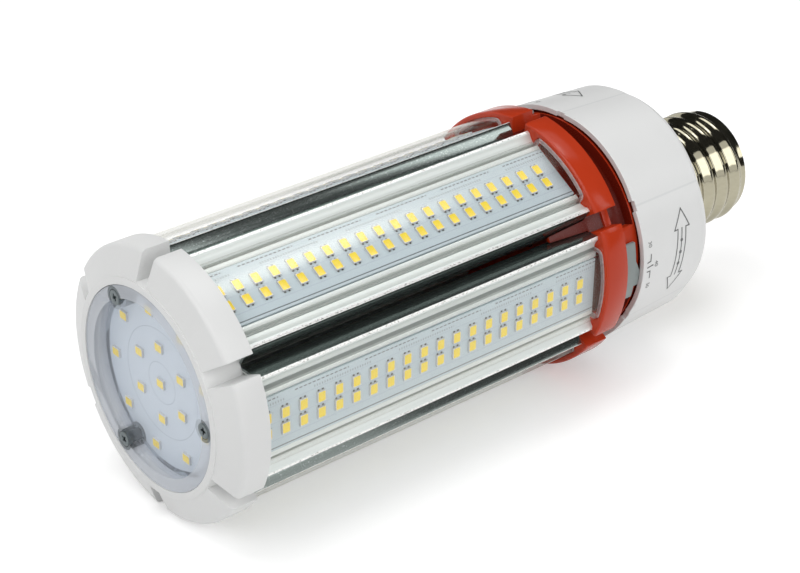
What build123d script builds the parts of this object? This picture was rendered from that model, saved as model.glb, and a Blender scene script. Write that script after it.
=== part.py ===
from build123d import *
import os
from math import cos, radians, sin, sqrt, tan

# LED replacement lamp with six lit panels round a hexagonal core and a screw base.
# All sizes are in millimetres. The lamp lies along X, resting on its lower lobes,
# and stations along its axis count from the front rim towards the screw base.

# Clearances
fit_gap = 0.25
slot_gap = 0.2
screw_gap = 0.2
running_gap = 0.3
end_gap = 0.2

# Heat-sink extrusion; heights count from the lamp axis
panel_count = 6
sink_length = 128.7
lip_rise = 1.72
lip_thickness = 1.3
groove_mouth = 8.14
groove_slit = 0.9
seat_height = 35.0
web_thickness = 2.2
rail_rise = 1.2
slot_depth = 1.0
cove_rise = 0.45
fin_place = 7.6
fin_thickness = 1.2
fin_length = 5.0
rib_thickness = 2.0
port_drop = 7.6
port_wall = 1.7
port_mouth = 1.2

# Long LED boards
board_width = 18.0
board_thickness = 1.6
board_setback = 0.4
led_length = 2.8
led_width = 3.5
led_height = 0.75
led_columns = 20
led_row_pitch = 5.13
led_start = 2.57
led_tail = 7.19

# Clear arched covers
cover_crown = 5.38
cover_half_width = 12.1
cover_wall = 1.0
cover_shoulder = 2.0
cover_entry = 1.0

# End cap
hood_wall = 1.82
cap_length = 12.3
cap_slope = 3.5
cap_edge_radius = 1.9
rim_width = 2.25
rim_step = 0.4
notch_step = 0.1
notch_floor_half = 2.35
notch_mouth_half = 2.95
wire_hole_radius = 4.0

# End lens, end board and their screws
lens_inset = 0.2
lens_face = 1.6
lens_depth = 5.25
lens_shelf = 4.2
lens_wall = 1.8
boss_wall = 1.0
end_board_thickness = 1.6
inner_ring_radius = 11.8
inner_ring_count = 6
outer_ring_setback = 4.1
outer_ring_count = 9
outer_ring_start = 20.0
screw_count = 3
screw_radius = 1.6
screw_bite = 11.0
head_radius = 2.3
head_height = 1.5
recess_width = 0.7

# Collar
hood_length = 8.7
hood_bevel = 0.5
hood_pocket = 5.2
bridge_rise = 2.6
bridge_length = 2.6
tongue_length = 15.0
tongue_front_half = 0.95
tongue_front_rise = 0.7
tongue_rear_rise = 1.7
tongue_foot_drop = 0.5
neck_room = 2.0
neck_length = 8.8
collar_wall = 2.0
bulkhead = 3.2
core_pocket_radius = 22.0
flange_length = 2.5
flange_lip = 0.7
flange_groove = 0.5
spigot_step = 1.2
spigot_length = 6.0

# Selector sliders and their switches; angles count from the middle of a panel
selector_panels = {"power": 0, "colour": 2}
selector_travel = 6.0
platform_low = -17.0
platform_high = 22.0
plate_low = -15.0
plate_high = 14.0
plate_thickness = 1.0
plate_setback = 0.5
plate_length = 6.8
pointer_low = -8.8
pointer_high = -1.0
pointer_slope_end = 4.5
grip_low = -9.0
grip_high = -4.6
grip_depth = 1.2
stem_place = -2.0
stem_width = 3.0
stem_length = 2.6
stem_setback = 4.3
stem_reach = 8.6
switch_width = 14.0
switch_length = 5.2
switch_height = 4.6
switch_slot_depth = 3.0

# Driver housing
facet_rise = 1.8
facet_offset = 4.65
housing_setback = 0.5
housing_length = 31.5
housing_taper = 1.4
housing_wall = 1.8
rim_notch_width = 3.4
rim_notch_depth = 0.8
shoulder_depth = 2.4
shoulder_drop = 2.2
shoulder_break = 0.75

# Driver inside the housing
driver_board_thickness = 1.6
transformer_size = (22.0, 19.0, 15.0)
transformer_place = (-14.0, 12.0)
transformer_edge = 2.0
capacitor_radius = 5.0
capacitor_height = 16.0
capacitor_spread = 12.0
capacitor_place = (17.0, 6.0)
choke_radius = 8.0
choke_bore = 3.0
choke_height = 9.0
choke_place = (-13.0, -15.0)
rectifier_size = (12.0, 4.0, 9.0)
rectifier_place = (14.0, -14.0)
transistor_size = (10.0, 4.5, 15.0)
transistor_place = (1.5, -24.0)
end_lead_radius = 1.5
contact_lead_radius = 1.2

# Screw base
thread_crest = 19.6
thread_root = 17.9
thread_pitch = 6.35
thread_turns = 6
shell_collar = 1.2
shell_wall = 0.9
base_neck_length = 14.0
base_neck_wall = 2.5
insulator_plug = 5.0
insulator_cone = 5.0
insulator_nose_radius = 10.5
contact_radius = 8.5
contact_height = 2.5
contact_edge = 1.2
rivet_radius = 2.6

# Stations along the lamp axis
cap_end = cap_length
sink_end = cap_end + sink_length
hood_end = sink_end + hood_length
neck_end = hood_end + neck_length
flange_end = neck_end + flange_length
spigot_end = flange_end + spigot_length
housing_start = neck_end + housing_setback
housing_end = housing_start + housing_length
thread_start = housing_end + shell_collar
shell_end = thread_start + thread_turns * thread_pitch + shell_collar
plug_start = shell_end - insulator_plug
cone_end = shell_end + insulator_cone
lamp_length = cone_end + contact_height

# Sizes that follow from the ones above
panel_step = 360 / panel_count
half_step = panel_step / 2
outward = 90
gap_slope = tan(radians(half_step))
lip_height = seat_height + lip_rise
port_height = seat_height - port_drop
cover_radius = seat_height + cover_crown
bridge_radius = seat_height + bridge_rise
tongue_front_top = seat_height + tongue_front_rise
tongue_rear_top = seat_height + tongue_rear_rise
tongue_foot = seat_height - tongue_foot_drop
led_pitch = (sink_length - led_start - led_tail) / (led_columns - 1)
flank_outer = (lip_height * sin(radians(half_step)) - groove_mouth / 2) / cos(radians(half_step))
flank_foot = (groove_slit / 2 + flank_outer * cos(radians(half_step))) / sin(radians(half_step))
flank_inner = flank_outer - lip_thickness
web_bottom = seat_height - web_thickness
board_top = seat_height + board_thickness
slot_floor = seat_height - slot_depth
lobe_radius = cover_radius + hood_wall
axis_height = sqrt(lobe_radius**2 - notch_mouth_half**2)
counterbore_radius = head_radius + screw_gap
boss_radius = counterbore_radius + boss_wall
lens_radius = port_height + boss_radius
lens_wall_inner = lens_radius - lens_shelf
outer_ring_radius = lens_wall_inner - outer_ring_setback
cup_radius = lens_radius + fit_gap
rim_radius = cup_radius + rim_width
board_front = lens_inset + lens_depth
cup_depth = board_front + end_board_thickness
screw_hole_radius = screw_radius + screw_gap
port_radius = screw_hole_radius + port_wall
bulkhead_start = hood_end - bulkhead
neck_bore = port_height + head_radius + neck_room
neck_radius = neck_bore + collar_wall
facet_arc = neck_radius + facet_rise
driver_rear = spigot_end + driver_board_thickness
neck_outer = thread_root - shell_wall - fit_gap
mouth_arc = facet_arc - housing_wall
mouth_valley = facet_offset * cos(radians(half_step)) + sqrt(
    mouth_arc**2 - (facet_offset * sin(radians(half_step)))**2
)
flange_radius = mouth_valley - fit_gap
spigot_radius = flange_radius - spigot_step
plate_start = hood_end + plate_setback
plate_end = plate_start + plate_length
stem_station = plate_start + stem_setback
stem_slot_low = stem_place - stem_width / 2 - 2 * running_gap
stem_slot_high = stem_place + stem_width / 2 + radians(selector_travel) * flange_radius + 2 * running_gap
stem_slot_place = (stem_slot_low + stem_slot_high) / 2
stem_slot_size = (stem_length + 2 * running_gap, stem_slot_high - stem_slot_low)
lamp_axis = Axis((0, 0, axis_height), (1, 0, 0))

# Plane along the lamp axis: x counts stations, y counts radius
along = Plane(origin=(-lamp_length / 2, 0, axis_height), x_dir=(1, 0, 0), z_dir=(0, -1, 0))


def across(station, angle=0):
    """Plane across the lamp axis: x runs round the lamp and y points out through the panel."""
    turn = radians(angle)
    return Plane(
        origin=(station - lamp_length / 2, 0, axis_height),
        x_dir=(0, sin(turn), cos(turn)),
        z_dir=(1, 0, 0),
    )


def facing(station, height, angle=0):
    """Plane parallel to a panel: x runs along the lamp and y round it."""
    turn = radians(angle)
    return Plane(
        origin=(station - lamp_length / 2, -height * cos(turn), axis_height + height * sin(turn)),
        x_dir=(1, 0, 0),
        z_dir=(0, -cos(turn), sin(turn)),
    )


def export(builder, name):
    """Name a finished piece and write it to its own file."""
    builder.part.label = name
    export_step(builder.part, f"parts/{name}.step")


def arch(grow, foot):
    """Arched outline of a cover, grown outwards by a clearance or inwards by a wall."""
    half = cover_half_width + grow
    radius = cover_radius + grow
    rise = sqrt(radius**2 - half**2)
    with BuildSketch(mode=Mode.PRIVATE) as face:
        with BuildLine():
            Polyline((-half, rise), (-half, foot), (half, foot), (half, rise))
            ThreePointArc((half, rise), (0, radius), (-half, rise))
        make_face()
        fillet(face.vertices().group_by(Axis.Y)[-1], cover_shoulder + grow)
    return face.sketch


def notches(floor, floor_half, mouth_half, mouth_radius):
    """Six tapered slots between the lobes, open outwards."""
    flare = (mouth_half - floor_half) / (mouth_radius - rim_radius)
    reach = mouth_radius + hood_wall
    inner_half = floor_half + flare * (floor - rim_radius)
    outer_half = floor_half + flare * (reach - rim_radius)
    with PolarLocations(0, panel_count, start_angle=outward - half_step):
        Polygon(
            (floor, -inner_half), (reach, -outer_half), (reach, outer_half), (floor, inner_half),
            align=None,
        )


os.makedirs("parts", exist_ok=True)

# End cap: a moulded disc with a cup for the lens and six lobes that hood the panels
with BuildPart() as end_cap:
    with BuildSketch(along) as cap_outline:
        with BuildLine():
            Polyline(
                (cup_depth, 0), (cup_depth, cup_radius), (0, cup_radius), (0, rim_radius),
                (rim_step, rim_radius), (cap_slope, lobe_radius), (cap_end, lobe_radius),
                (cap_end, 0), close=True,
            )
        make_face()
        fillet(cap_outline.vertices().group_by(Axis.Y)[-1].sort_by(Axis.X)[0], cap_edge_radius)
    revolve(axis=lamp_axis)
    with BuildSketch(across(0)):
        notches(rim_radius + notch_step, notch_floor_half, notch_mouth_half, lobe_radius)
    extrude(amount=cap_end, mode=Mode.SUBTRACT)
    for panel in range(panel_count):
        with BuildSketch(across(cap_end, panel * panel_step)):
            add(arch(fit_gap, slot_floor))
            add(arch(-cover_wall - fit_gap, slot_floor - slot_depth), mode=Mode.SUBTRACT)
        extrude(amount=-cover_entry - end_gap, mode=Mode.SUBTRACT)
    with BuildSketch(across(cup_depth)):
        Circle(wire_hole_radius)
        with PolarLocations(port_height, screw_count, start_angle=outward):
            Circle(screw_hole_radius)
    extrude(until=Until.LAST, mode=Mode.SUBTRACT)
export(end_cap, "end_cap")

# End lens: a clear shallow cup with three screw posts, standing on the end board
with BuildPart() as end_lens:
    with BuildSketch(across(lens_inset)):
        Circle(lens_radius)
    extrude(amount=lens_face)
    with BuildSketch(across(lens_inset)):
        Circle(lens_wall_inner + lens_wall)
        Circle(lens_wall_inner, mode=Mode.SUBTRACT)
        with PolarLocations(port_height, screw_count, start_angle=outward):
            Circle(boss_radius)
    extrude(amount=lens_depth)
    with BuildSketch(across(lens_inset)):
        with PolarLocations(port_height, screw_count, start_angle=outward):
            Circle(screw_hole_radius)
    extrude(amount=lens_depth, mode=Mode.SUBTRACT)
    with BuildSketch(across(lens_inset)):
        with PolarLocations(port_height, screw_count, start_angle=outward):
            Circle(counterbore_radius)
    extrude(amount=head_height, mode=Mode.SUBTRACT)
export(end_lens, "end_lens")

# End board: a round board in the bottom of the cap's cup
with BuildPart() as end_board:
    with BuildSketch(across(board_front)):
        Circle(lens_radius)
        with PolarLocations(port_height, screw_count, start_angle=outward):
            Circle(screw_hole_radius, mode=Mode.SUBTRACT)
    extrude(amount=end_board_thickness)
export(end_board, "end_board")

# LEDs of the end board: one in the middle and two rings
with BuildPart() as end_leds:
    with BuildSketch(across(board_front)):
        Rectangle(led_width, led_length)
        for radius, count, first in (
            (inner_ring_radius, inner_ring_count, half_step),
            (outer_ring_radius, outer_ring_count, outer_ring_start),
        ):
            with PolarLocations(radius, count, start_angle=outward - first, rotate=False):
                Rectangle(led_width, led_length)
    extrude(amount=-led_height)
export(end_leds, "end_leds")

# Three long screws through the lens, the board and the cap into the heat sinks
with BuildPart() as end_screws:
    with BuildSketch(across(lens_inset)):
        with PolarLocations(port_height, screw_count, start_angle=outward):
            Circle(head_radius)
    extrude(amount=head_height)
    with BuildSketch(across(lens_inset + head_height)):
        with PolarLocations(port_height, screw_count, start_angle=outward):
            Circle(screw_radius)
    extrude(amount=cap_end + screw_bite - lens_inset - head_height)
    with BuildSketch(across(lens_inset)):
        with PolarLocations(port_height, screw_count, start_angle=outward):
            Rectangle(head_radius, recess_width)
            Rectangle(recess_width, head_radius)
    extrude(amount=recess_width, mode=Mode.SUBTRACT)
export(end_screws, "end_screws")

# Six panels: heat sink, LED board, LEDs and clear cover
rail_inner = board_width / 2 + running_gap
slot_inner = cover_half_width - cover_wall - slot_gap
slot_outer = cover_half_width + slot_gap
port_stem = sqrt(port_radius**2 - (rib_thickness / 2)**2)
for panel in range(panel_count):
    turn = panel * panel_step
    number = panel + 1

    # Heat sink: one extrusion with board seat, cover slots, lips, flanks, fins and a screw port
    with BuildPart() as heat_sink:
        with BuildSketch(across(cap_end, turn)):
            with BuildLine():
                Polyline(
                    (0, seat_height), (rail_inner, seat_height), (rail_inner, seat_height + rail_rise),
                    (slot_inner, seat_height + rail_rise), (slot_inner, slot_floor),
                    (slot_outer, slot_floor), (slot_outer, seat_height + cove_rise),
                )
                TangentArc(
                    (slot_outer, seat_height + cove_rise), (flank_inner, lip_height), tangent=(1, 0)
                )
                Polyline(
                    (flank_inner, lip_height), (flank_outer, lip_height), (flank_outer, flank_foot),
                    (flank_inner, flank_foot), (flank_inner, web_bottom),
                    (fin_place + fin_thickness, web_bottom),
                    (fin_place + fin_thickness, web_bottom - fin_length),
                    (fin_place, web_bottom - fin_length), (fin_place, web_bottom),
                    (rib_thickness / 2, web_bottom), (rib_thickness / 2, port_height + port_stem),
                    (0, port_height + port_stem),
                )
                mirror(about=Plane.YZ)
            make_face()
            with Locations((0, port_height)):
                Circle(port_radius)
                Circle(screw_hole_radius, mode=Mode.SUBTRACT)
            with Locations((0, port_height)):
                Rectangle(
                    port_mouth, port_radius + port_wall,
                    align=(Align.CENTER, Align.MAX), mode=Mode.SUBTRACT,
                )
        extrude(amount=sink_length)
    export(heat_sink, f"heat_sink_{number}")

    with BuildPart() as led_board:
        with BuildSketch(facing((cap_end + sink_end) / 2, seat_height, turn)):
            Rectangle(sink_length - 2 * board_setback, board_width)
        extrude(amount=board_thickness)
    export(led_board, f"led_board_{number}")

    led_middle = cap_end + led_start + (led_columns - 1) * led_pitch / 2
    with BuildPart() as leds:
        with BuildSketch(facing(led_middle, board_top, turn)):
            with GridLocations(led_pitch, led_row_pitch, led_columns, 2):
                Rectangle(led_length, led_width)
        extrude(amount=led_height)
    export(leds, f"leds_{number}")

    # Cover: a clear arch whose two feet stand in the slots of the heat sink
    with BuildPart() as cover:
        with BuildSketch(across(cap_end - cover_entry, turn)):
            add(arch(0, slot_floor))
            add(arch(-cover_wall, slot_floor - slot_depth), mode=Mode.SUBTRACT)
        extrude(amount=sink_length + 2 * cover_entry)
    export(cover, f"cover_{number}")

# Collar: a moulding with six hoods, six tongues in the grooves, a neck, a flange and a spigot
with BuildPart() as collar:
    with BuildSketch(along) as collar_outline:
        with BuildLine():
            Polyline(
                (sink_end, core_pocket_radius), (sink_end, lobe_radius - hood_bevel),
                (sink_end + hood_bevel, lobe_radius), (hood_end, lobe_radius), (hood_end, neck_radius),
                (neck_end, neck_radius), (neck_end, flange_radius), (neck_end + flange_lip, flange_radius),
                (neck_end + flange_lip, flange_radius - flange_groove),
                (flange_end - flange_lip, flange_radius - flange_groove),
                (flange_end - flange_lip, flange_radius), (flange_end, flange_radius),
                (flange_end, spigot_radius), (spigot_end, spigot_radius), (spigot_end, neck_bore),
                (hood_end, neck_bore), (hood_end, wire_hole_radius), (bulkhead_start, wire_hole_radius),
                (bulkhead_start, core_pocket_radius), close=True,
            )
        make_face()
    revolve(axis=lamp_axis)
    bridge_start = hood_end - bridge_length
    with BuildSketch(across(sink_end)):
        notches(tongue_rear_top, notch_floor_half, notch_mouth_half, lobe_radius)
    extrude(amount=bridge_start - sink_end, mode=Mode.SUBTRACT)
    with BuildSketch(across(bridge_start)):
        notches(bridge_radius, notch_floor_half, notch_mouth_half, lobe_radius)
    extrude(amount=bridge_length, mode=Mode.SUBTRACT)

    # Hollow behind each cover, with a step that takes the cover's end
    for panel in range(panel_count):
        with BuildSketch(across(sink_end, panel * panel_step)):
            add(arch(fit_gap, slot_floor))
        extrude(amount=cover_entry + end_gap, mode=Mode.SUBTRACT)
        with BuildSketch(across(sink_end, panel * panel_step)):
            add(arch(-cover_wall - fit_gap, seat_height))
        extrude(amount=hood_pocket, mode=Mode.SUBTRACT)

    # Tongues: wedges that fill the grooves between neighbouring heat sinks
    groove_shift = flank_outer / cos(radians(half_step)) + running_gap / cos(radians(half_step))
    rear_half = gap_slope * tongue_rear_top - groove_shift
    foot_half = gap_slope * tongue_foot - groove_shift
    for gap in range(panel_count):
        gap_angle = gap * panel_step + half_step
        with BuildSketch(across(sink_end - tongue_length, gap_angle)):
            Polygon(
                (-foot_half, tongue_foot), (foot_half, tongue_foot), (tongue_front_half, tongue_front_top),
                (-tongue_front_half, tongue_front_top), align=None,
            )
        with BuildSketch(across(sink_end, gap_angle)):
            Polygon(
                (-foot_half, tongue_foot), (foot_half, tongue_foot), (rear_half, tongue_rear_top),
                (-rear_half, tongue_rear_top), align=None,
            )
        loft()

    # Platforms that carry the sliders, with a slot for each stem
    for panel in selector_panels.values():
        with BuildSketch(across(hood_end, panel * panel_step)):
            with BuildLine():
                top = CenterArc((0, 0), flange_radius, outward - platform_high, platform_high - platform_low)
                Polyline(top @ 0, (0, 0), top @ 1)
            make_face()
            Circle(neck_bore, mode=Mode.SUBTRACT)
        extrude(amount=neck_length)
        with BuildSketch(facing(stem_station, neck_bore - collar_wall, panel * panel_step)):
            with Locations((0, stem_slot_place)):
                Rectangle(*stem_slot_size)
        extrude(amount=flange_radius - neck_bore + 2 * collar_wall, mode=Mode.SUBTRACT)

    with BuildSketch(across(sink_end)):
        with PolarLocations(port_height, panel_count, start_angle=outward):
            Circle(screw_hole_radius)
    extrude(amount=hood_length, mode=Mode.SUBTRACT)
export(collar, "collar")

# Six screws from inside the neck through the collar into the heat sinks
with BuildPart() as collar_screws:
    with BuildSketch(across(hood_end)):
        with PolarLocations(port_height, panel_count, start_angle=outward):
            Circle(head_radius)
    extrude(amount=head_height)
    with BuildSketch(across(sink_end - screw_bite)):
        with PolarLocations(port_height, panel_count, start_angle=outward):
            Circle(screw_radius)
    extrude(amount=screw_bite + hood_length)
export(collar_screws, "collar_screws")

# Selector sliders: curved plates with a finger notch, a pointer and a stem for a slide switch
plate_inner = flange_radius + running_gap
plate_outer = plate_inner + plate_thickness
pointer_end = housing_start - running_gap
switch_top = sqrt((neck_bore - slot_gap)**2 - (switch_width / 2)**2)
for name, panel in selector_panels.items():
    turn = panel * panel_step
    corners = {
        label: plate_outer * sin(radians(angle))
        for label, angle in {
            "low": plate_low, "tip_low": pointer_low, "tip_high": pointer_high,
            "slope": pointer_slope_end, "high": plate_high, "grip_low": grip_low, "grip_high": grip_high,
        }.items()
    }
    with BuildPart() as slider:
        with BuildSketch(across(plate_start, turn)):
            Circle(plate_outer)
            Circle(plate_inner, mode=Mode.SUBTRACT)
        extrude(amount=pointer_end - plate_start)
        with BuildSketch(facing(0, 0, turn)):
            Polygon(
                (plate_start, corners["low"]), (plate_end, corners["low"]), (plate_end, corners["tip_low"]),
                (pointer_end, corners["tip_low"]), (pointer_end, corners["tip_high"]),
                (plate_end, corners["slope"]), (plate_end, corners["high"]), (plate_start, corners["high"]),
                (plate_start, corners["grip_high"]), (plate_start + grip_depth, corners["grip_high"]),
                (plate_start + grip_depth, corners["grip_low"]), (plate_start, corners["grip_low"]),
                align=None,
            )
        extrude(amount=plate_outer + plate_thickness, mode=Mode.INTERSECT)
        with BuildSketch(facing(stem_station, plate_outer - plate_thickness / 2 - stem_reach, turn)):
            with Locations((0, stem_place)):
                Rectangle(stem_length, stem_width)
        extrude(amount=stem_reach)
    export(slider, f"{name}_slider")

    with BuildPart() as switch:
        with BuildSketch(facing(stem_station, switch_top - switch_height, turn)):
            Rectangle(switch_length, switch_width)
        extrude(amount=switch_height)
        with BuildSketch(facing(stem_station, switch_top, turn)):
            with Locations((0, stem_slot_place)):
                Rectangle(*stem_slot_size)
        extrude(amount=-switch_slot_depth, mode=Mode.SUBTRACT)
    export(switch, f"{name}_switch")

# Driver housing: six softly bulged facets, tapered towards the base, with small notches in the
# front rim and a neck for the shell
with BuildPart() as housing:
    rear_arc = facet_arc - housing_taper
    shoulder_start = housing_end - shoulder_depth
    shoulder_middle = housing_end - shoulder_break
    for station, arc in (
        (housing_start, facet_arc), (shoulder_start, rear_arc),
        (shoulder_middle, rear_arc - shoulder_break), (housing_end, rear_arc - shoulder_drop),
    ):
        with BuildSketch(across(station)):
            with PolarLocations(facet_offset, panel_count, start_angle=outward):
                Circle(arc)
    loft(ruled=True)
    for station, arc in (
        (housing_start, mouth_arc), (housing_end - shoulder_depth, mouth_arc - housing_taper),
    ):
        with BuildSketch(across(station)):
            with PolarLocations(facet_offset, panel_count, start_angle=outward):
                Circle(arc)
    loft(ruled=True, mode=Mode.SUBTRACT)
    with BuildSketch(across(housing_start)):
        with PolarLocations(mouth_valley, panel_count, start_angle=outward - half_step):
            Rectangle(4 * housing_wall, rim_notch_width)
    extrude(amount=rim_notch_depth, mode=Mode.SUBTRACT)
    with BuildSketch(across(housing_end)):
        Circle(neck_outer)
    extrude(amount=base_neck_length)
    with BuildSketch(across(housing_end - shoulder_depth)):
        Circle(neck_outer - base_neck_wall)
    extrude(amount=shoulder_depth + base_neck_length, mode=Mode.SUBTRACT)
export(housing, "housing")

# Driver board and its parts, carried on the end of the spigot
with BuildPart() as driver_board:
    with BuildSketch(across(spigot_end)):
        Circle(spigot_radius)
    extrude(amount=driver_board_thickness)
export(driver_board, "driver_board")

with BuildPart() as transformer:
    with BuildSketch(across(driver_rear)):
        with Locations(transformer_place):
            Rectangle(transformer_size[0], transformer_size[1])
    extrude(amount=transformer_size[2])
    chamfer(transformer.edges().filter_by(Axis.X), transformer_edge)
export(transformer, "transformer")

with BuildPart() as capacitors:
    with BuildSketch(across(driver_rear)):
        with Locations(capacitor_place):
            with GridLocations(0, capacitor_spread, 1, 2):
                Circle(capacitor_radius)
    extrude(amount=capacitor_height)
export(capacitors, "capacitors")

with BuildPart() as choke:
    with BuildSketch(across(driver_rear)):
        with Locations(choke_place):
            Circle(choke_radius)
            Circle(choke_bore, mode=Mode.SUBTRACT)
    extrude(amount=choke_height)
export(choke, "choke")

for name, size, place in (
    ("rectifier", rectifier_size, rectifier_place),
    ("transistor", transistor_size, transistor_place),
):
    with BuildPart() as driver_part:
        with BuildSketch(across(driver_rear)):
            with Locations(place):
                Rectangle(size[0], size[1])
        extrude(amount=size[2])
    export(driver_part, name)

# Leads along the axis: driver to end board, and driver to centre contact
with BuildPart() as end_lead:
    with BuildSketch(across(cup_depth)):
        Circle(end_lead_radius)
    extrude(amount=spigot_end - cup_depth)
export(end_lead, "end_lead")

with BuildPart() as contact_lead:
    with BuildSketch(across(driver_rear)):
        Circle(contact_lead_radius)
    extrude(amount=plug_start - driver_rear)
export(contact_lead, "contact_lead")

# Screw shell: thin metal with rounded thread waves
with BuildPart() as screw_shell:
    with BuildSketch(along):
        wave = [(housing_end, thread_root), (thread_start, thread_root)]
        for thread in range(thread_turns):
            crest_station = thread_start + (thread + 0.5) * thread_pitch
            wave.append((crest_station, thread_crest))
            wave.append((crest_station + thread_pitch / 2, thread_root))
        with BuildLine():
            Polyline(
                *wave, (shell_end, thread_root), (shell_end, thread_root - shell_wall),
                (housing_end, thread_root - shell_wall), close=True,
            )
        make_face()
    revolve(axis=lamp_axis)
export(screw_shell, "screw_shell")

# Insulator: a plug in the end of the shell with a cone that carries the contact
rivet_hole_radius = rivet_radius + screw_gap
with BuildPart() as base_insulator:
    with BuildSketch(along):
        with BuildLine():
            Polyline(
                (plug_start, rivet_hole_radius), (plug_start, neck_outer), (shell_end, neck_outer),
                (cone_end, insulator_nose_radius), (cone_end, rivet_hole_radius), close=True,
            )
        make_face()
    revolve(axis=lamp_axis)
export(base_insulator, "base_insulator")

with BuildPart() as centre_contact:
    with BuildSketch(along):
        with BuildLine():
            Polyline(
                (plug_start, 0), (plug_start, rivet_radius),
                (cone_end, rivet_radius), (cone_end, contact_radius),
                (lamp_length - contact_edge, contact_radius), (lamp_length, contact_radius - contact_edge),
                (lamp_length, 0), close=True,
            )
        make_face()
    revolve(axis=lamp_axis)
export(centre_contact, "centre_contact")
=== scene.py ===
import bmesh
import bpy
from math import cos, pi, radians, sin, sqrt
from mathutils import Matrix, Vector


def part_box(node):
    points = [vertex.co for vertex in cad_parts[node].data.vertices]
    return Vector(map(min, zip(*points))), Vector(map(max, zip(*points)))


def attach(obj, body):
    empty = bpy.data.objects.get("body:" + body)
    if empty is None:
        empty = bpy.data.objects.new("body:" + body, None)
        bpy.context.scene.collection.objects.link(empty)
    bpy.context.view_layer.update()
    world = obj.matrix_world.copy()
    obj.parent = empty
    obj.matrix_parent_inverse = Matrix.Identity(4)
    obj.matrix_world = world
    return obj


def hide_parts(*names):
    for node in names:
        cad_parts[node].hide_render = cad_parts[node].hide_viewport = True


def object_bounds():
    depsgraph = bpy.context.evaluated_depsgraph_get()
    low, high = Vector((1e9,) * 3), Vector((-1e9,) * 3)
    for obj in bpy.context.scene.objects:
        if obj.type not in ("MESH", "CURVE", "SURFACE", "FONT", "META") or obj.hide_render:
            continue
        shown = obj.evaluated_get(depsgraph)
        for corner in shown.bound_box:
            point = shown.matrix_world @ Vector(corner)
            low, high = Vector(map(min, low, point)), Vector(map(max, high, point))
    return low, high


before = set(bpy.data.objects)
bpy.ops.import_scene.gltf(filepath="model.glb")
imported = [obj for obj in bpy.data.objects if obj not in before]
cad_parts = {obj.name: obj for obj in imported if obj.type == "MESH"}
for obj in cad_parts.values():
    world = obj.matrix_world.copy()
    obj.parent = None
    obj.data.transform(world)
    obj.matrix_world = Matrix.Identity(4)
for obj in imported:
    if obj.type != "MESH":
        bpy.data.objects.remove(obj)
cad_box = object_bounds()

# Heat sinks: six aluminium extrusions that stand in a ring round the lamp's axis.
# Their outer faces are satin with fine lines from the die, their flanks nearly bright,
# and their lips rough from the saw. Three long screws at one end and six at the other hold them.
mm = 0.001  # the frame is in metres, and the sizes of the lamp's pieces are in millimetres
panels = range(1, 7)
panel_step = 60
front = cad_box[0].x
shell_low, shell_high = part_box("screw_shell")
axis = (shell_low[2] + shell_high[2]) / 2
centre = Vector((0, 0, axis))
sink_low, sink_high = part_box("heat_sink_1")
sink_half = (sink_high[2] - sink_low[2]) / 2 / mm
sink_edge = 0.16
eased_length = 100
lip_width = 0.8
lip_facing = 0.3
weld_gap = 0.002
cut_gap = 0.001
flat_angle = 0.3
sharp_angle = 32
satin_dark = (0.66, 0.70, 0.68, 1)
satin_light = (0.79, 0.83, 0.81, 1)
sparkle = (0.46, 0.50, 0.49, 1)
flank_dark = (0.20, 0.235, 0.222, 1)
flank_light = (0.28, 0.315, 0.302, 1)
lip_dark = (0.42, 0.42, 0.40, 1)
lip_light = (0.96, 0.96, 0.94, 1)


class Tone:
    """A shader socket that takes part in sums and adds further nodes to its material."""

    def __init__(self, tree, socket=None):
        self.tree = tree
        self.socket = socket

    def node(self, kind, settings, sockets, out=0):
        added = self.tree.nodes.new(kind)
        for key, value in settings.items():
            setattr(added, key, value)
        for key, value in sockets.items():
            if isinstance(value, Tone):
                self.tree.links.new(value.socket, added.inputs[key])
            else:
                added.inputs[key].default_value = value
        return Tone(self.tree, added.outputs[out])

    def feeds(self, socket):
        self.tree.links.new(self.socket, socket)

    def maths(self, operation, first, second=0.0):
        return self.node("ShaderNodeMath", {"operation": operation}, {0: first, 1: second})

    def mixed(self, first, second):
        return self.node(
            "ShaderNodeMix", {"data_type": "RGBA"}, {0: self, 6: first, 7: second}, out=2
        )

    def at_least(self, other):
        return self.maths("MAXIMUM", self, other)

    def __add__(self, other):
        return self.maths("ADD", self, other)

    def __radd__(self, other):
        return self.maths("ADD", other, self)

    def __sub__(self, other):
        return self.maths("SUBTRACT", self, other)

    def __rsub__(self, other):
        return self.maths("SUBTRACT", other, self)

    def __mul__(self, other):
        return self.maths("MULTIPLY", self, other)

    def __rmul__(self, other):
        return self.maths("MULTIPLY", other, self)

    def __mod__(self, other):
        return self.maths("FLOORED_MODULO", self, other)

    def __lt__(self, other):
        return self.maths("LESS_THAN", self, other)

    def __gt__(self, other):
        return self.maths("GREATER_THAN", self, other)

    def __abs__(self):
        return self.maths("ABSOLUTE", self)


def finish_named(name):
    """A new material, a starting point for its nodes, and its surface shader."""
    material = bpy.data.materials.new(name)
    material.use_nodes = True
    return material, Tone(material.node_tree), material.node_tree.nodes["Principled BSDF"]


def grain(tone, along, across=None, detail=3.0):
    """Noise on the object's own coordinates, with one scale along the lamp and one across it."""
    across = across or along
    place = tone.node("ShaderNodeTexCoord", {}, {}, "Object")
    stretched = tone.node(
        "ShaderNodeMapping", {}, {"Vector": place, "Scale": (along, across, across)}
    )
    return tone.node("ShaderNodeTexNoise", {}, {"Vector": stretched, "Scale": 1.0, "Detail": detail})


def bumped(height, surface, strength, depth):
    """Fine relief from a height pattern, with its depth in millimetres."""
    relief = height.node(
        "ShaderNodeBump", {}, {"Strength": strength, "Distance": depth * mm, "Height": height}, "Normal"
    )
    relief.feeds(surface.inputs["Normal"])


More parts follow.
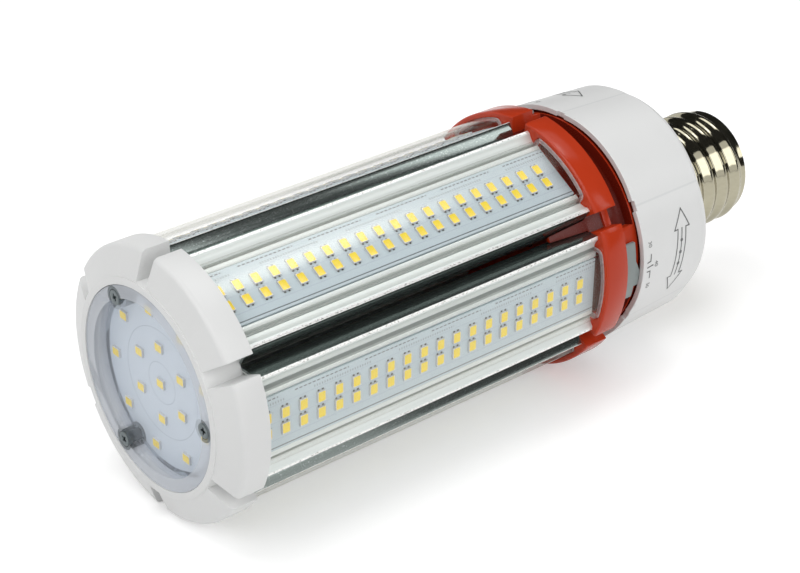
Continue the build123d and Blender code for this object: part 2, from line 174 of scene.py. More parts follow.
def merged_copy(node):
    """A piece's triangles joined into whole faces, ready for rounding."""
    mesh = bmesh.new()
    mesh.from_mesh(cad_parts[node].data)
    bmesh.ops.remove_doubles(mesh, verts=mesh.verts, dist=weld_gap * mm)
    bmesh.ops.dissolve_limit(
        mesh, angle_limit=radians(flat_angle), verts=mesh.verts, edges=mesh.edges
    )
    return mesh


def sliced(mesh, point, normal, drop_outer=False):
    """Cuts a mesh along a plane, and drops what lies beyond it where that is asked."""
    bmesh.ops.bisect_plane(
        mesh, geom=[*mesh.verts, *mesh.edges, *mesh.faces], dist=cut_gap * mm,
        plane_co=point, plane_no=normal, clear_outer=drop_outer,
    )


def eased(mesh, width, rounds, chosen):
    """Rounds the sharp edges that are chosen."""
    edges = [
        edge for edge in mesh.edges
        if len(edge.link_faces) == 2 and edge.calc_face_angle() > radians(sharp_angle) and chosen(edge)
    ]
    bmesh.ops.bevel(
        mesh, geom=edges, offset=width * mm, offset_type="OFFSET", affect="EDGES",
        segments=rounds, profile=0.5, material=-1, clamp_overlap=True,
    )


def panel_axes(number):
    """The directions out of a panel and across it."""
    turn = radians(panel_step * (number - 1))
    return Vector((0, -cos(turn), sin(turn))), Vector((0, sin(turn), cos(turn)))


def piece(name, mesh, finishes, stands_for, body="lamp", crease=sharp_angle):
    """Makes a finished piece of a mesh, in place of its plain solids."""
    data = bpy.data.meshes.new(name)
    mesh.to_mesh(data)
    mesh.free()
    for finish in finishes:
        data.materials.append(finish)
    data.shade_smooth()
    data.set_sharp_from_angle(angle=radians(crease))
    made = bpy.data.objects.new(name, data)
    bpy.context.scene.collection.objects.link(made)
    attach(made, body)
    if stands_for:
        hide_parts(*stands_for)
    return made


satin_metal, tone, surface = finish_named("satin_metal")
die_lines = grain(tone, 14, 2400)
die_lines.mixed(satin_dark, satin_light).feeds(surface.inputs["Base Color"])
(0.34 + die_lines * 0.14).feeds(surface.inputs["Roughness"])
surface.inputs["Metallic"].default_value = 0.3
bumped(die_lines, surface, strength=0.12, depth=0.02)

flank_metal, tone, surface = finish_named("flank_metal")
die_lines = grain(tone, 14, 2400)
specks = grain(tone, 2600, detail=1.0)
glints = tone.node("ShaderNodeMapRange", {}, {"Value": specks, "From Min": 0.62, "From Max": 0.74})
glints.mixed(die_lines.mixed(flank_dark, flank_light), sparkle).feeds(surface.inputs["Base Color"])
(0.05 + die_lines * 0.08 + specks * 0.08).feeds(surface.inputs["Roughness"])
surface.inputs["Metallic"].default_value = 0.92
bumped(specks, surface, strength=0.06, depth=0.02)

cut_metal, tone, surface = finish_named("cut_metal")
specks = grain(tone, 2300, detail=1.0)
pits = tone.node("ShaderNodeMapRange", {}, {"Value": specks, "From Min": 0.36, "From Max": 0.44})
pits.mixed(lip_dark, lip_light).feeds(surface.inputs["Base Color"])
(0.24 + specks * 0.20).feeds(surface.inputs["Roughness"])
surface.inputs["Metallic"].default_value = 0.4
bumped(specks, surface, strength=0.35, depth=0.05)

sink_finishes = [satin_metal, flank_metal, cut_metal]
lip_start = sink_half - lip_width
for number in panels:
    sink = merged_copy(f"heat_sink_{number}")
    eased(sink, sink_edge, rounds=2, chosen=lambda edge: edge.calc_length() > eased_length * mm)
    out, sideways = panel_axes(number)
    for cut in (-lip_start, lip_start):
        sliced(sink, centre + sideways * cut * mm, sideways)
    sink.normal_update()
    for face in sink.faces:
        place = face.calc_center_median() - centre
        if abs(place.dot(sideways)) / mm > lip_start:
            finish = cut_metal if face.normal.dot(out) > lip_facing else flank_metal
            face.material_index = sink_finishes.index(finish)
    piece(f"drawn_sink_{number}", sink, sink_finishes, [f"heat_sink_{number}"])

# LED boards: long white-coated boards that lie on the flat seat of each heat sink.
# The coating is pale blue-white, with faint copper tracks under it, two rows of small
# printed marks along one side and a dark line along the other.
board_edge = 0.15
coating = (0.555, 0.645, 0.685, 1)
track_shade = (0.46, 0.53, 0.60, 1)
dash_ink = (0.20, 0.22, 0.24, 1)
dark_edge_colour = (0.17, 0.19, 0.20, 1)
side_track, side_track_half, middle_track_half = 5.6, 0.09, 0.07
edge_line_row, edge_line_half = -8.15, 0.17
dash_row, dash_half, dash_step, dash_length = 8.0, 0.2, 1.55, 1.0
dash_group_step, dash_group_length = 24.8, 19.0
tick_row, tick_half, tick_step, tick_length = 6.5, 0.35, 0.9, 0.35
tick_group_step, tick_group_length = 31.0, 21.0
tick_weight = 0.6


def station(point):
    """Distance from the front rim along the lamp, in millimetres."""
    return (point.x - front) / mm


def block(mesh, middle, size):
    """A block of a size, centred on a place."""
    stretch = Matrix.Diagonal((*size, 1))
    return bmesh.ops.create_cube(mesh, size=1, matrix=middle @ stretch)["verts"]


def to_panel(mesh, number):
    """Turns a mesh made on the front panel round the lamp's axis to another panel."""
    turn = Matrix.Rotation(-radians(panel_step * (number - 1)), 3, "X")
    bmesh.ops.rotate(mesh, verts=mesh.verts, cent=centre, matrix=turn)


def panel_map(mesh):
    """Notes at each corner its place along and across the front panel, in millimetres."""
    layer = mesh.loops.layers.uv.new("panel")
    for face in mesh.faces:
        for corner in face.loops:
            spot = corner.vert.co
            corner[layer].uv = (station(spot), (spot.z - axis) / mm)


board_coat, tone, surface = finish_named("board_coat")
panel_place = tone.node("ShaderNodeUVMap", {"uv_map": "panel"}, {})
along = tone.node("ShaderNodeSeparateXYZ", {}, {0: panel_place}, "X")
across = tone.node("ShaderNodeSeparateXYZ", {}, {0: panel_place}, "Y")
tracks = (abs(abs(across) - side_track) < side_track_half) + (abs(across) < middle_track_half)
dashes = (abs(across - dash_row) < dash_half) * ((along % dash_step) < dash_length)
dashes = dashes * ((along % dash_group_step) < dash_group_length)
ticks = (abs(across - tick_row) < tick_half) * ((along % tick_step) < tick_length)
ticks = ticks * ((along % tick_group_step) < tick_group_length)
printing = dashes.at_least(ticks * tick_weight)
# A thin dark line runs along the lower edge of each board.
edge_line = abs(across - edge_line_row) < edge_line_half
coat = printing.mixed(tracks.mixed(coating, track_shade), dash_ink)
edge_line.mixed(coat, dark_edge_colour).feeds(surface.inputs["Base Color"])
mottle = grain(tone, 300)
(0.34 + mottle * 0.12).feeds(surface.inputs["Roughness"])
bumped(mottle, surface, strength=0.06, depth=0.02)

board_low, board_high = (Vector(corner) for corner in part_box("led_board_1"))
for number in panels:
    board = bmesh.new()
    block(board, Matrix.Translation((board_low + board_high) / 2), board_high - board_low)
    eased(board, board_edge, rounds=2, chosen=lambda edge: True)
    panel_map(board)
    to_panel(board, number)
    piece(f"coated_board_{number}", board, [board_coat], [f"led_board_{number}"])

# LEDs: small white packages in two rows of twenty on each board, soldered at both ends.
# Each has a sunk window of yellow phosphor, side walls painted grey as painted shade and two tinned tabs
# at each end.
led_size = (2.8, 3.5, 0.75)
led_columns = 20
window_rim = 0.19
window_corner = 0.5
window_sink = 0.05
window_facing = 0.9
tab_size = (0.55, 0.45, 0.15)
tab_spread = 0.75
package_white = (0.84, 0.84, 0.82, 1)
package_cloud = (0.78, 0.79, 0.79, 1)
wall_painted_shade = (0.60, 0.60, 0.61, 1)
wall_painted_shade_cloud = (0.68, 0.68, 0.67, 1)
phosphor_deep = (0.97, 0.69, 0.032, 1)
phosphor_pale = (0.99, 0.80, 0.075, 1)
tin_grey = (0.13, 0.12, 0.11, 1)
tin_bright = (0.24, 0.23, 0.21, 1)

led_white, tone, surface = finish_named("led_white")
cloud = grain(tone, 700)
cloud.mixed(package_white, package_cloud).feeds(surface.inputs["Base Color"])
surface.inputs["Roughness"].default_value = 0.38

# The side walls are the same white plastic as the top, painted grey as painted shade.
led_wall_painted_shade, tone, surface = finish_named("led_wall_painted_shade")
cloud = grain(tone, 700)
cloud.mixed(wall_painted_shade, wall_painted_shade_cloud).feeds(surface.inputs["Base Color"])
surface.inputs["Roughness"].default_value = 0.45

phosphor, tone, surface = finish_named("phosphor")
cloud = grain(tone, 1500)
cloud.mixed(phosphor_deep, phosphor_pale).feeds(surface.inputs["Base Color"])
surface.inputs["Roughness"].default_value = 0.30
surface.inputs["Coat Weight"].default_value = 0.25

tinned, tone, surface = finish_named("tinned")
cloud = grain(tone, 1200)
cloud.mixed(tin_grey, tin_bright).feeds(surface.inputs["Base Color"])
(0.25 + cloud * 0.2).feeds(surface.inputs["Roughness"])
surface.inputs["Metallic"].default_value = 1.0

led_finishes = [led_white, led_wall_painted_shade, phosphor, tinned]


def add_led(mesh, place, tab_sides):
    """One package, standing on the origin of its place with its window facing along Z."""
    before = set(mesh.faces)
    block(mesh, place @ Matrix.Translation((0, 0, led_size[2] / 2 * mm)), Vector(led_size) * mm)
    mesh.normal_update()
    up = place.to_3x3() @ Vector((0, 0, 1))
    walls = [face for face in mesh.faces if face not in before]
    top = max(walls, key=lambda face: face.normal.dot(up))
    for face in walls:
        face.material_index = led_finishes.index(led_wall_painted_shade)
    rims = bmesh.ops.inset_individual(
        mesh, faces=[top], thickness=window_rim * mm, depth=-window_sink * mm, use_even_offset=True
    )["faces"]
    corners = bmesh.ops.bevel(
        mesh, geom=list(top.verts), offset=window_corner * mm, offset_type="OFFSET",
        affect="VERTICES", segments=1, profile=0.5, material=-1, clamp_overlap=True,
    )
    for face in [*rims, *corners["faces"]]:
        if face.is_valid:
            face.material_index = led_finishes.index(led_white)
    window = max(
        (face for face in mesh.faces if face not in before and face.normal.dot(up) > window_facing),
        key=lambda face: face.calc_area(),
    )
    window.material_index = led_finishes.index(phosphor)
    tab_reach = (led_size[1] + tab_size[1]) / 2
    for side in tab_sides:
        for half in (-1, 1):
            middle = Vector((half * tab_spread, side * tab_reach, tab_size[2] / 2)) * mm
            tab = block(mesh, place @ Matrix.Translation(middle), Vector(tab_size) * mm)
            for face in {face for vert in tab for face in vert.link_faces}:
                face.material_index = led_finishes.index(tinned)


row_low, row_high = (Vector(corner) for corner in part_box("leds_1"))
first_led = row_low.x + led_size[0] / 2 * mm
led_pitch = (row_high.x - row_low.x - led_size[0] * mm) / (led_columns - 1)
led_rows = (row_low.z + led_size[1] / 2 * mm, row_high.z - led_size[1] / 2 * mm)
face_front = Matrix(((1, 0, 0), (0, 0, -1), (0, 1, 0))).to_4x4()
for number in panels:
    rows = bmesh.new()
    for column in range(led_columns):
        for row in led_rows:
            spot = Vector((first_led + column * led_pitch, row_high.y, row))
            add_led(rows, Matrix.Translation(spot) @ face_front, (-1, 1))
    to_panel(rows, number)
    piece(f"led_rows_{number}", rows, led_finishes, [f"leds_{number}"])

# Clear covers: six arched strips of clear plastic whose feet slide into the heat-sink slots.
# The walls are thin, so they mirror their surroundings faintly. Their feet are painted pale as
# painted light, and their rims carry a painted white highlight where the collar hoods them.
cover_gleam = (0.68, 0.665, 0.59, 1)
plain_gleam = 0.05
gleam_power = 5.0
foot_rise = 0.5
foot_paint_cover = 0.7
foot_painted_pale = (0.60, 0.63, 0.62, 1)
rim_width = 0.25
painted_rim_highlight = (0.95, 0.94, 0.94, 1)

clear_plastic, tone, surface = finish_named("clear_plastic")
ripple = grain(tone, 25, 160, detail=1.0)
slope = tone.node("ShaderNodeLayerWeight", {}, {"Blend": 0.5}, "Facing")
gleam = plain_gleam + slope.maths("POWER", slope, gleam_power) * (1 - plain_gleam)
surface.inputs["Base Color"].default_value = cover_gleam
surface.inputs["Metallic"].default_value = 1.0
(0.15 + ripple * 0.06).feeds(surface.inputs["Roughness"])
gleam.feeds(surface.inputs["Alpha"])

# The feet are painted pale and nearly opaque: painted light over the shade in the slots.
foot_painted_light, tone, surface = finish_named("foot_painted_light")
ripple = grain(tone, 25, 160, detail=1.0)
surface.inputs["Base Color"].default_value = foot_painted_pale
(0.30 + ripple * 0.10).feeds(surface.inputs["Roughness"])
(foot_paint_cover + ripple * 0.05).feeds(surface.inputs["Alpha"])

# The rims carry a painted white highlight where the clear ends meet the hoods.
rim_with_painted_highlight, tone, surface = finish_named("rim_with_painted_highlight")
ripple = grain(tone, 900, detail=1.0)
surface.inputs["Base Color"].default_value = painted_rim_highlight
surface.inputs["Roughness"].default_value = 0.2
(0.25 + ripple * 0.35).feeds(surface.inputs["Alpha"])

cover_finishes = [clear_plastic, foot_painted_light, rim_with_painted_highlight]
foot_top = -board_high.y / mm + foot_rise
sink_end = station(Vector(sink_high))
rim_start = sink_end - rim_width
for number in panels:
    cover = merged_copy(f"cover_{number}")
    out = panel_axes(number)[0]
    sliced(cover, centre + out * foot_top * mm, out)
    sliced(cover, (front + rim_start * mm, 0, axis), (1, 0, 0))
    for face in cover.faces:
        middle = face.calc_center_median()
        if station(middle) > rim_start:
            face.material_index = cover_finishes.index(rim_with_painted_highlight)
        elif (middle - centre).dot(out) / mm < foot_top:
            face.material_index = cover_finishes.index(foot_painted_light)
    clear = piece(
        f"clear_cover_{number}", cover, cover_finishes, [f"cover_{number}"]
    )
    clear.visible_shadow = False

# End cap: one moulding of white plastic with a cup for the lens, a raised rim and six lobes.
# Its edges are soft from the mould, and three screws pass through it.
cap_edge = 0.3
cup_reach = 30
lobe_reach = 41
back_depth = 2
white_light = (0.735, 0.74, 0.735, 1)
white_shade = (0.70, 0.705, 0.70, 1)


def moulded(name, shade, light, rough, bump):
    """Moulded plastic: nearly even colour, faint clouds and a very fine grain."""
    material, tone, surface = finish_named(name)
    clouds = grain(tone, 60)
    fine = grain(tone, 2600, detail=2.0)
    clouds.mixed(shade, light).feeds(surface.inputs["Base Color"])
    (rough + clouds * 0.06 + fine * 0.05).feeds(surface.inputs["Roughness"])
    bumped(fine, surface, strength=bump, depth=0.02)
    return material


def reach(point):
    """Distance from the lamp's axis, in millimetres."""
    return sqrt(point.y**2 + (point.z - axis) ** 2) / mm


def beyond(limit):
    """Chooses the edges that lie wholly further from the axis than a limit."""
    return lambda edge: all(reach(vert.co) > limit for vert in edge.verts)


def on_cap_outside(edge):
    """Chooses the cap's edges outside its cup, and at its back only those of the lobes."""
    return beyond(cup_reach)(edge) and all(
        station(vert.co) < cap_end - back_depth or reach(vert.co) > lobe_reach for vert in edge.verts
    )


white_plastic = moulded("white_plastic", white_shade, white_light, rough=0.34, bump=0.10)
cap_end = station(Vector(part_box("end_cap")[1]))
cap = merged_copy("end_cap")
eased(cap, cap_edge, rounds=3, chosen=on_cap_outside)
piece("moulded_cap", cap, [white_plastic], ["end_cap"])

# End board: a round coated board at the bottom of the cap's cup with sixteen LEDs.
# One sits in the middle and the rest stand on two rings, with copper rings between them.
round_coating = (0.64, 0.71, 0.785, 1)
copper_rings = (17.2, 6.5)
copper_half = 0.12
led_rings = ((0, 1, 0), (11.8, 6, 30), (22.6, 9, 20))


def from_axis(tone):
    """A point's place across the lamp, in millimetres from its axis."""
    place = tone.node("ShaderNodeTexCoord", {}, {}, "Object")
    centred = tone.node("ShaderNodeMapping", {}, {"Vector": place, "Location": (0, 0, -axis)})
    return tone.node(
        "ShaderNodeVectorMath", {"operation": "MULTIPLY"}, {0: centred, 1: (0, 1 / mm, 1 / mm)}
    )


round_coat, tone, surface = finish_named("round_coat")
flat_place = from_axis(tone)
spread = tone.node("ShaderNodeVectorMath", {"operation": "LENGTH"}, {0: flat_place}, "Value")
rings = 0.0
for ring in copper_rings:
    rings = (abs(spread - ring) < copper_half) + rings
rings.mixed(round_coating, track_shade).feeds(surface.inputs["Base Color"])
mottle = grain(tone, 300)
(0.34 + mottle * 0.12).feeds(surface.inputs["Roughness"])
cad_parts["end_board"].data.materials.clear()
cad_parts["end_board"].data.materials.append(round_coat)

end_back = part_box("end_leds")[1][0]
face_end = Matrix(((0, 0, -1), (0, -1, 0), (-1, 0, 0))).to_4x4()
end_rows = bmesh.new()
for ring, count, first in led_rings:
    for led in range(count):
        angle = radians(first + led * 360 / count)
        spot = Vector((end_back, -ring * cos(angle) * mm, axis + ring * sin(angle) * mm))
        add_led(end_rows, Matrix.Translation(spot) @ face_end, ())
piece("end_led_rings", end_rows, led_finishes, ["end_leds"])

# End lens: a clear shallow cup that lies flush in the rim, with a wall that stands on the
# round board and three posts round the screws.
lens_edge = 0.15
lens_wall_reach = 30
lens_shelf_start = 26.9
post_angles = (0, 120, 240)
post_ring = 27.4
post_radius = 3.5
lens_haze = (0.70, 0.74, 0.82, 1)
shelf_tint = (0.56, 0.59, 0.64, 1)
post_tint = (0.09, 0.115, 0.125, 1)

lens_plastic, tone, surface = finish_named("lens_plastic")
flat_place = from_axis(tone)
spread = tone.node("ShaderNodeVectorMath", {"operation": "LENGTH"}, {0: flat_place}, "Value")
shelf = spread > lens_shelf_start
posts = 0.0
for angle in post_angles:
    middle = (0, -post_ring * cos(radians(angle)), post_ring * sin(radians(angle)))
    gap = tone.node(
        "ShaderNodeVectorMath", {"operation": "DISTANCE"}, {0: flat_place, 1: middle}, "Value"
    )
    posts = (gap < post_radius) + posts
ripple = grain(tone, 120, detail=1.0)
posts.mixed(shelf.mixed(lens_haze, shelf_tint), post_tint).feeds(surface.inputs["Base Color"])
(0.08 + shelf * 0.58 + posts * 0.2).feeds(surface.inputs["Alpha"])
(0.06 + ripple * 0.08).feeds(surface.inputs["Roughness"])

lens = merged_copy("end_lens")
eased(lens, lens_edge, rounds=2, chosen=beyond(lens_wall_reach))
clear = piece("clear_lens", lens, [lens_plastic], ["end_lens"])
clear.visible_shadow = False

# Lens screws: three long screws of plated steel, with rounded heads and cross recesses.
# They pass through the lens, the round board and the cap into the heat sinks.
screw_edge = 0.2
head_depth = 0.4
steel_dark = (0.10, 0.12, 0.125, 1)
steel_light = (0.16, 0.185, 0.19, 1)
plated_steel, tone, surface = finish_named("plated_steel")
wear = grain(tone, 800)
wear.mixed(steel_dark, steel_light).feeds(surface.inputs["Base Color"])
(0.24 + wear * 0.18).feeds(surface.inputs["Roughness"])
surface.inputs["Metallic"].default_value = 1.0
screws = merged_copy("end_screws")
eased(
    screws, screw_edge, rounds=2,
    chosen=lambda edge: all(station(vert.co) < head_depth for vert in edge.verts),
)
piece("plated_screws", screws, [plated_steel], ["end_screws"])

# Collar: one moulding of red plastic with six hoods, tongues in the grooves, a neck with two
# slider platforms, and a grooved flange that meets the housing. Its sunk faces are painted darker red as
# painted shade.
collar_edge = 0.25
collar_reach = 33
hood_length = 8.7
deep_reach = 37.2
floor_facing = 0.5
wall_facing = 0.9
red_shade = (0.42, 0.033, 0.008, 1)
red_light = (0.48, 0.042, 0.012, 1)
# Darker red for the sunk faces: painted shade, not a different plastic.
painted_shade_red = (0.11, 0.008, 0.003, 1)
painted_shade_red_light = (0.13, 0.010, 0.004, 1)
red_plastic = moulded("red_plastic", red_shade, red_light, rough=0.12, bump=0.05)
red_with_painted_shade = moulded("red_with_painted_shade", painted_shade_red, painted_shade_red_light, rough=0.22, bump=0.05)
for plastic in (red_plastic, red_with_painted_shade):
    surface = plastic.node_tree.nodes["Principled BSDF"]
    surface.inputs["Specular IOR Level"].default_value = 0.22
collar = merged_copy("collar")
eased(collar, collar_edge, rounds=2, chosen=beyond(collar_reach))
collar.normal_update()
# The gap floors and the walls behind the hoods take the darker red: painted shade where the hoods and neck
# shade them.
for face in collar.faces:
    middle = face.calc_center_median()
    outward = Vector((0, middle.y, middle.z - axis)).normalized()
    floor_of_gap = face.normal.dot(outward) > floor_facing and reach(middle) < deep_reach
    wall_of_gap = face.normal.x < -wall_facing and station(middle) > sink_end + hood_length
    face.material_index = int(floor_of_gap or wall_of_gap)
piece("moulded_collar", collar, [red_plastic, red_with_painted_shade], ["collar"])

# Selector sliders: two curved grey plates, each with a pointer at its rear edge and a stem
# that works a slide switch under the collar's platform.
slider_edge = 0.2
slider_reach = 37
grey_shade = (0.21, 0.245, 0.24, 1)
grey_light = (0.26, 0.295, 0.29, 1)
grey_plastic = moulded("grey_plastic", grey_shade, grey_light, rough=0.40, bump=0.12)
for name in ("power", "colour"):
    slider = merged_copy(f"{name}_slider")
    eased(slider, slider_edge, rounds=2, chosen=beyond(slider_reach))
    piece(
        f"grey_{name}_slider", slider, [grey_plastic], [f"{name}_slider"],
        body=f"{name}_selector",
    )

# Driver housing: a tapered shell of white plastic with six softly bulged facets and a fold
# between each two, pushed over the collar's spigot. A narrow band of painted shade darkens
# each fold. Scale marks are printed beside both sliders.
housing_edge = 0.35
housing_reach = 30
housing_crease = 6
painted_fold_shade = (0.56, 0.575, 0.575, 1)
fold_start, fold_end, fold_weight = 0.1, 0.8, 0.45

# Painted shade: the white darkens towards each fold, as if shaded in the crease.
plastic_with_painted_fold_shade, tone, surface = finish_named("plastic_with_painted_fold_shade")
flat_place = from_axis(tone)
depth = tone.node("ShaderNodeSeparateXYZ", {}, {0: flat_place}, "Y")
height = tone.node("ShaderNodeSeparateXYZ", {}, {0: flat_place}, "Z")
bearing = tone.maths("ARCTAN2", height, depth) * (180 / pi)
from_fold = abs((bearing % panel_step) - panel_step / 2)
painted_shade_at_fold = tone.node(
    "ShaderNodeMapRange", {"interpolation_type": "SMOOTHSTEP"},
    {
        "Value": from_fold, "From Min": fold_start, "From Max": fold_end,
        "To Min": fold_weight, "To Max": 0.0,
    },
)
clouds = grain(tone, 60)
painted_shade_at_fold.mixed(clouds.mixed(white_shade, white_light), painted_fold_shade).feeds(surface.inputs["Base Color"])
(0.34 + clouds * 0.08).feeds(surface.inputs["Roughness"])

housing = merged_copy("housing")
eased(housing, housing_edge, rounds=3, chosen=beyond(housing_reach))
piece(
    "moulded_housing", housing, [plastic_with_painted_fold_shade], ["housing"], crease=housing_crease
)

# Scale marks: dark print on the housing beside each slider, a hair above its skin.
# Three leaders with plain numbers stand by the pointer, and a double arrow with three
# stops lies behind them. Places are given by station and by angle from the facet's middle.
facet_arc, facet_offset, housing_taper, taper_length = 35.5, 4.65, 1.4, 29.1
housing_start = station(Vector(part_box("housing")[0]))
ink_lift = 0.05
ink_line = 0.4
ink_shade = (0.10, 0.105, 0.105, 1)
ink_light = (0.14, 0.145, 0.145, 1)
leaders = (
    ((160.8, 2.4), (162.2, 2.7), (162.4, 5.9)),
    ((160.8, 0.0), (163.3, 0.3)),
    ((160.8, -2.1), (162.1, -2.2), (162.2, -5.8)),
)
numbers = (("30", 162.1, 10.9), ("40", 164.9, 0.2), ("50", 162.1, -10.1))
number_size = 2.1
number_turn = -90
arrow_middle, head_half, shaft_half, head_start, arrow_tip = 176.5, 3.5, 1.9, 11.8, 21.0
arrow_skew = 0.076
stop_rings = (6.1, 0.2, -5.7)
ring_radius = 0.62
ring_sides = 20


def facet_radius(at_station, angle):
    """Distance of the housing's skin from the axis, at an angle from the middle of a facet."""
    arc = facet_arc - housing_taper * (at_station - housing_start) / taper_length
    return facet_offset * cos(angle) + sqrt(arc**2 - (facet_offset * sin(angle)) ** 2)


def round_facet(mesh):
    """Lays a flat mesh on the front facet: x is the station, y the angle in degrees."""
    for vert in mesh.verts:
        angle = radians(vert.co.y)
        radius = facet_radius(vert.co.x, angle) + ink_lift
        vert.co = (front + vert.co.x * mm, -radius * cos(angle) * mm, axis + radius * sin(angle) * mm)


degree = radians(1) * facet_radius(arrow_middle, 0)
to_degrees = Matrix.Diagonal((1, 1 / degree, 1, 1))


def stroke(mesh, points):
    """A printed line through points given by station and angle."""
    for start, end in zip(points, points[1:]):
        run = Vector((end[0] - start[0], (end[1] - start[1]) * degree, 0))
        turn = run.to_track_quat("X", "Z").to_matrix().to_4x4()
        middle = Matrix.Translation(((start[0] + end[0]) / 2, (start[1] + end[1]) / 2, 0))
        size = Matrix.Diagonal(((run.length + ink_line) / 2, ink_line / 2, 1, 1))
        bmesh.ops.create_grid(
            mesh, x_segments=max(2, round(run.length)), y_segments=1, size=1,
            matrix=middle @ to_degrees @ turn @ size,
        )


def arrow_at(angle):
    """Station of the arrow's middle line, which leans a little."""
    return arrow_middle + arrow_skew * angle


printed_ink = moulded("printed_ink", ink_shade, ink_light, rough=0.45, bump=0.05)
arrow_half = (
    (-shaft_half, head_start), (-head_half, head_start), (0, arrow_tip),
    (head_half, head_start), (shaft_half, head_start),
)
ring_gap = ring_radius / degree
for name, number in (("power", 1), ("colour", 3)):
    marks = bmesh.new()
    for leader in leaders:
        stroke(marks, leader)
    outline = []
    for end in (1, -1):
        for aside, angle in arrow_half:
            outline.append((arrow_at(end * angle) + end * aside, end * angle))
    stroke(marks, [*outline, outline[0]])
    stops = [head_start, *stop_rings, -head_start]
    for upper, lower in zip(stops, stops[1:]):
        upper_end = upper - ring_gap if upper in stop_rings else upper
        lower_end = lower + ring_gap if lower in stop_rings else lower
        stroke(marks, ((arrow_at(upper_end), upper_end), (arrow_at(lower_end), lower_end)))
    for stop in stop_rings:
        disc = bmesh.ops.create_circle(
            marks, cap_ends=True, segments=ring_sides, radius=ring_radius,
            matrix=Matrix.Translation((arrow_at(stop), stop, 0)) @ to_degrees,
        )
        face = disc["verts"][0].link_faces[0]
        bmesh.ops.inset_individual(marks, faces=[face], thickness=ink_line / degree, depth=0)
        bmesh.ops.delete(marks, geom=[face], context="FACES_ONLY")
    for text, at_station, angle in numbers:
        curve = bpy.data.curves.new("number", "FONT")
        curve.body = text
        curve.size = number_size
        curve.align_x = "CENTER"
        curve.align_y = "CENTER"
        drawn = bpy.data.objects.new("number", curve)
        letters = bpy.data.meshes.new_from_object(drawn)
        turn = Matrix.Rotation(radians(number_turn), 4, "Z")
        letters.transform(Matrix.Translation((at_station, angle, 0)) @ to_degrees @ turn)
        marks.from_mesh(letters)
        bpy.data.objects.remove(drawn)
    round_facet(marks)
    to_panel(marks, number)
    piece(f"scale_marks_{name}", marks, [printed_ink], [])

# Screw shell: thin nickel-plated sheet rolled to a round thread, pressed over the neck of
# the housing. The thread runs out smoothly into a plain collar and lip at both ends.
thread_crest = 19.6
thread_root = 18.35
thread_pitch = 6.35
run_out = 3.0
shell_collar = 1.2
shell_lip = 16.65
shell_crease = 50
turn_steps = 72
wave_points = 12
seam_gap = 0.01
ring_slack = 0.05
nickel_dark = (0.36, 0.335, 0.25, 1)
nickel_light = (0.43, 0.405, 0.305, 1)
nickel, tone, surface = finish_named("nickel_plate")
haze = grain(tone, 200, 900)
haze.mixed(nickel_dark, nickel_light).feeds(surface.inputs["Base Color"])
(0.05 + haze * 0.08).feeds(surface.inputs["Roughness"])
surface.inputs["Metallic"].default_value = 1.0
thread_start = station(Vector(shell_low)) + shell_collar
thread_end = station(Vector(shell_high)) - shell_collar
thread_ends = ((thread_start, -1), (thread_end, 1))
thread_turns = round((thread_end - thread_start) / thread_pitch)


def beside_axis(at_station, radius):
    """A point in front of the lamp's axis."""
    return Vector((front + at_station * mm, -radius * mm, axis))


def drawn_out(mesh, ring):
    """Extrudes a ring of edges, and gives its new points and its new open edges."""
    new = bmesh.ops.extrude_edge_only(mesh, edges=ring)["geom"]
    points = [item for item in new if isinstance(item, bmesh.types.BMVert)]
    return points, [item for item in new if isinstance(item, bmesh.types.BMEdge) and item.is_boundary]


shell = bmesh.new()
wave = []
for step in range(wave_points + 1):
    share = step / wave_points
    swell = (1 - cos(2 * pi * share)) / 2
    wave.append(shell.verts.new(beside_axis(
        thread_start + (share - 1) * thread_pitch, thread_root + swell * (thread_crest - thread_root)
    )))
for step in range(wave_points):
    shell.edges.new(wave[step:step + 2])
bmesh.ops.spin(
    shell, geom=[*shell.verts, *shell.edges], cent=centre, axis=(1, 0, 0),
    dvec=(thread_pitch / turn_steps * mm, 0, 0), angle=2 * pi * (thread_turns + 1),
    steps=turn_steps * (thread_turns + 1), use_merge=False, use_duplicate=False,
)
bmesh.ops.remove_doubles(shell, verts=shell.verts, dist=seam_gap * mm)
for at_station, outwards in thread_ends:
    sliced(shell, beside_axis(at_station, 0), (outwards, 0, 0), drop_outer=True)
for vert in shell.verts:
    depth = min(station(vert.co) - thread_start, thread_end - station(vert.co))
    fade = min(1, depth / run_out)
    fade = fade * fade * (3 - 2 * fade)
    radius = reach(vert.co)
    ratio = (thread_root + (radius - thread_root) * fade) / radius
    vert.co.y *= ratio
    vert.co.z = axis + (vert.co.z - axis) * ratio
narrowed = shell_lip / thread_root
for at_station, outwards in thread_ends:
    ring = [
        edge for edge in shell.edges
        if edge.is_boundary and all(abs(station(vert.co) - at_station) < ring_slack for vert in edge.verts)
    ]
    points, ring = drawn_out(shell, ring)
    bmesh.ops.translate(shell, verts=points, vec=(outwards * shell_collar * mm, 0, 0))
    points, ring = drawn_out(shell, ring)
    bmesh.ops.scale(
        shell, verts=points, vec=(1, narrowed, narrowed), space=Matrix.Translation(-centre)
    )
bmesh.ops.remove_doubles(shell, verts=shell.verts, dist=seam_gap * mm)
bmesh.ops.recalc_face_normals(shell, faces=shell.faces)
piece("rolled_shell", shell, [nickel], ["screw_shell"], crease=shell_crease)

